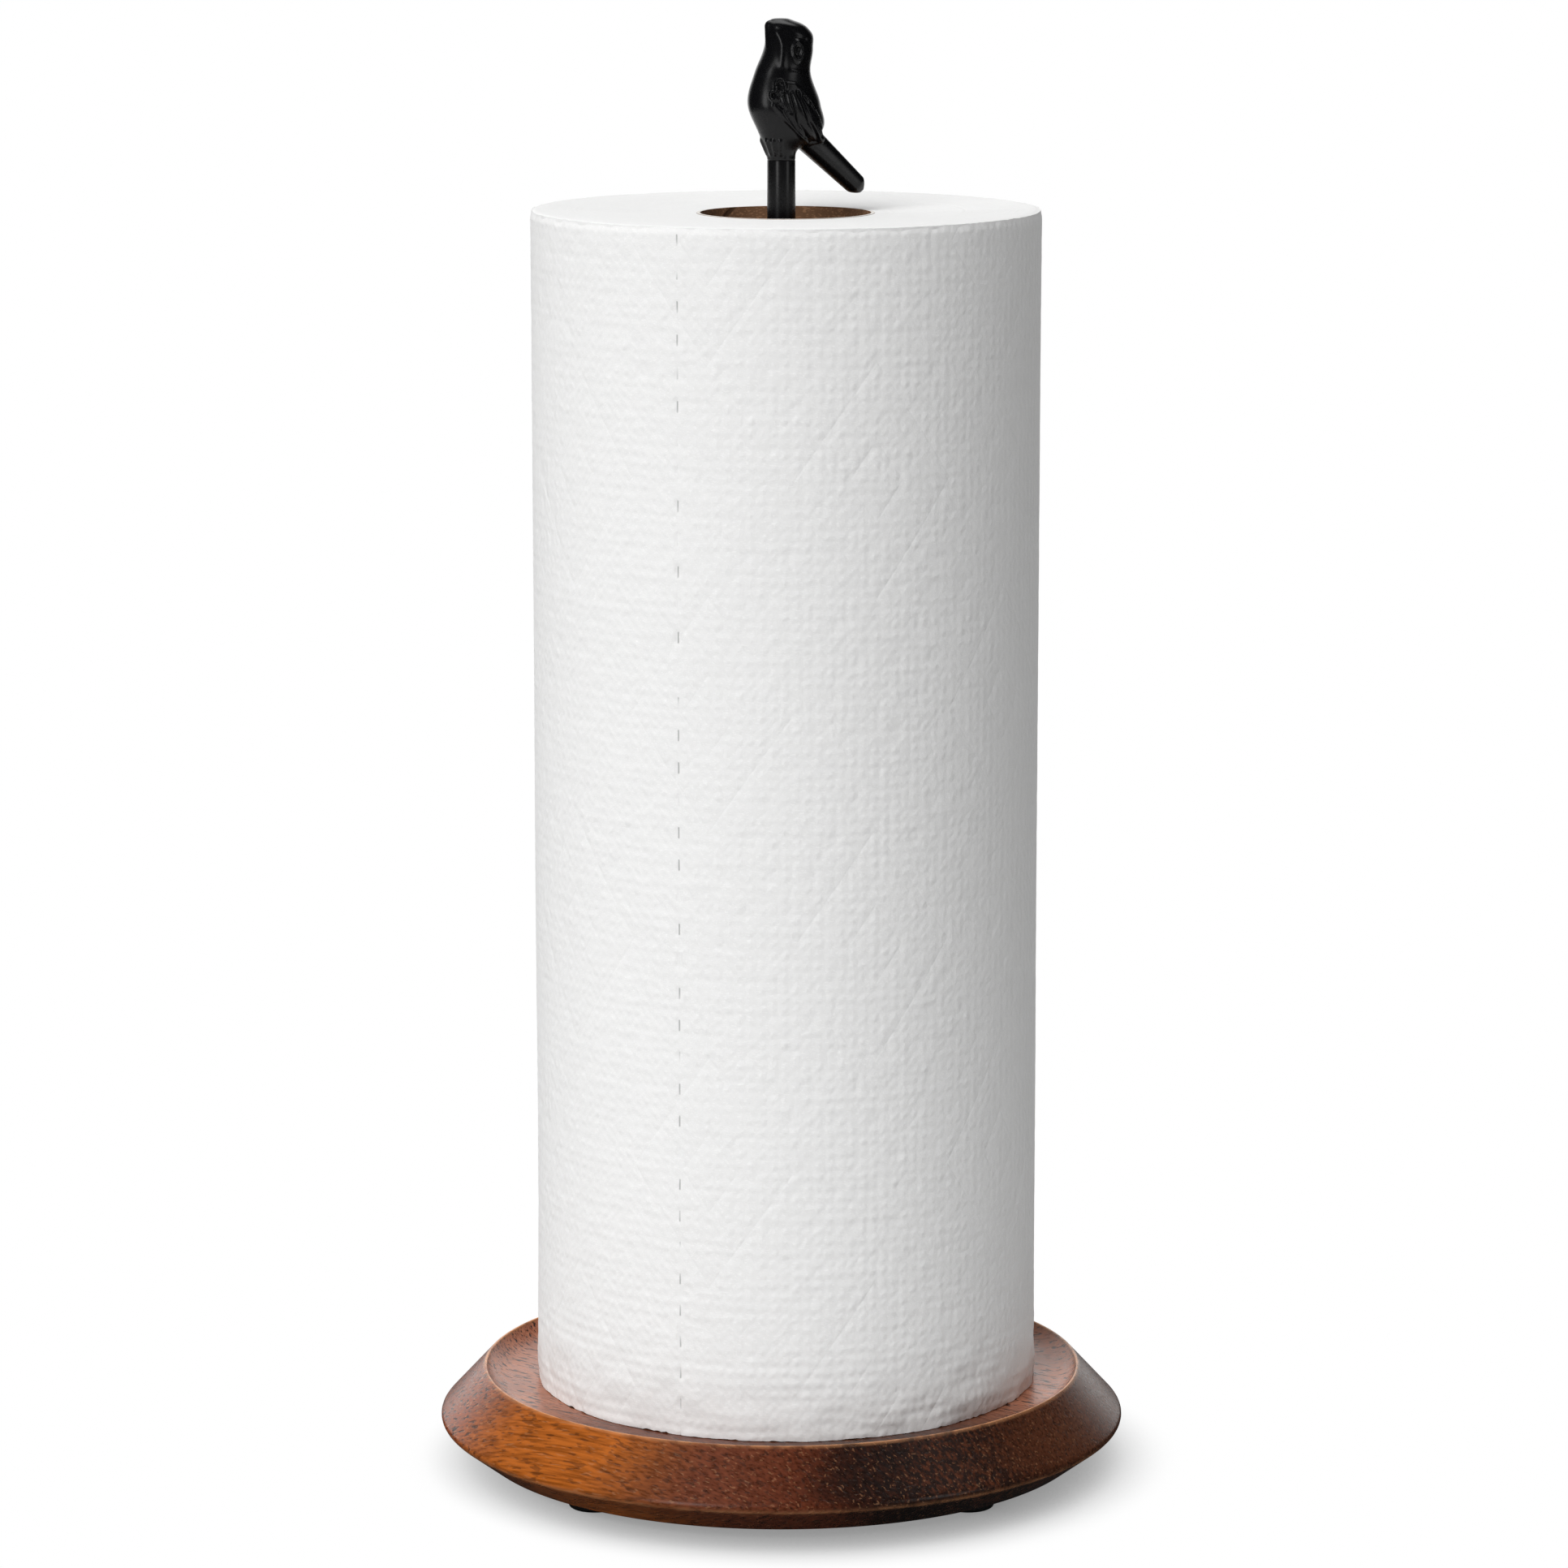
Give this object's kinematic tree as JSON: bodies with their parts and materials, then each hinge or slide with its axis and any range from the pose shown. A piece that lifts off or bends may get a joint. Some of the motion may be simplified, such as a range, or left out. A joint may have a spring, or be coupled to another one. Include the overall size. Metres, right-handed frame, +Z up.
{
  "type": "paper towel holder",
  "caption": "Upright counter-top paper towel holder: round turned wooden base on rubber feet, slim black pole with a bird finial, and a paper roll that turns and lifts off.",
  "frame": {"origin": "on the axis of the round base, in the plane of the feet's undersides", "axes": "+Z up along the pole, the picture is taken along +Y, +X is to its right"},
  "size_m": [0.1642, 0.1642, 0.344],
  "materials": {
    "stained_wood": "satin, dark stain rubbed thin on the edges",
    "black_metal": "satin black coat",
    "zinc_steel": "zinc plated",
    "black_rubber": "matte",
    "core_card": "matte",
    "towel_paper": "matte, embossed"
  },
  "bodies": {
    "stand": {"base_disc": "stained_wood", "pole": "black_metal", "finial_bird": "black_metal", "finial_stud": "zinc_steel", "pole_screw": "zinc_steel", "pole_washer": "zinc_steel", "pole_lock_washer": "zinc_steel", "foot_screws": "zinc_steel", "foot_front_left": "black_rubber", "foot_front_right": "black_rubber", "foot_back_left": "black_rubber", "foot_back_right": "black_rubber"},
    "core": {"roll_core": "core_card"},
    "paper": {"paper_roll": "towel_paper"}
  },
  "joints": [
    {"name": "roll_lift", "type": "slide", "parent": "stand", "child": "core", "axis": [0, 0, 1], "range_m": [0, 0.33]},
    {"name": "roll_spin", "type": "hinge", "parent": "core", "child": "paper", "pos_m": [0.001, 0.0035, 0.1592], "axis": [0, 0, 1], "continuous": true}
  ]
}
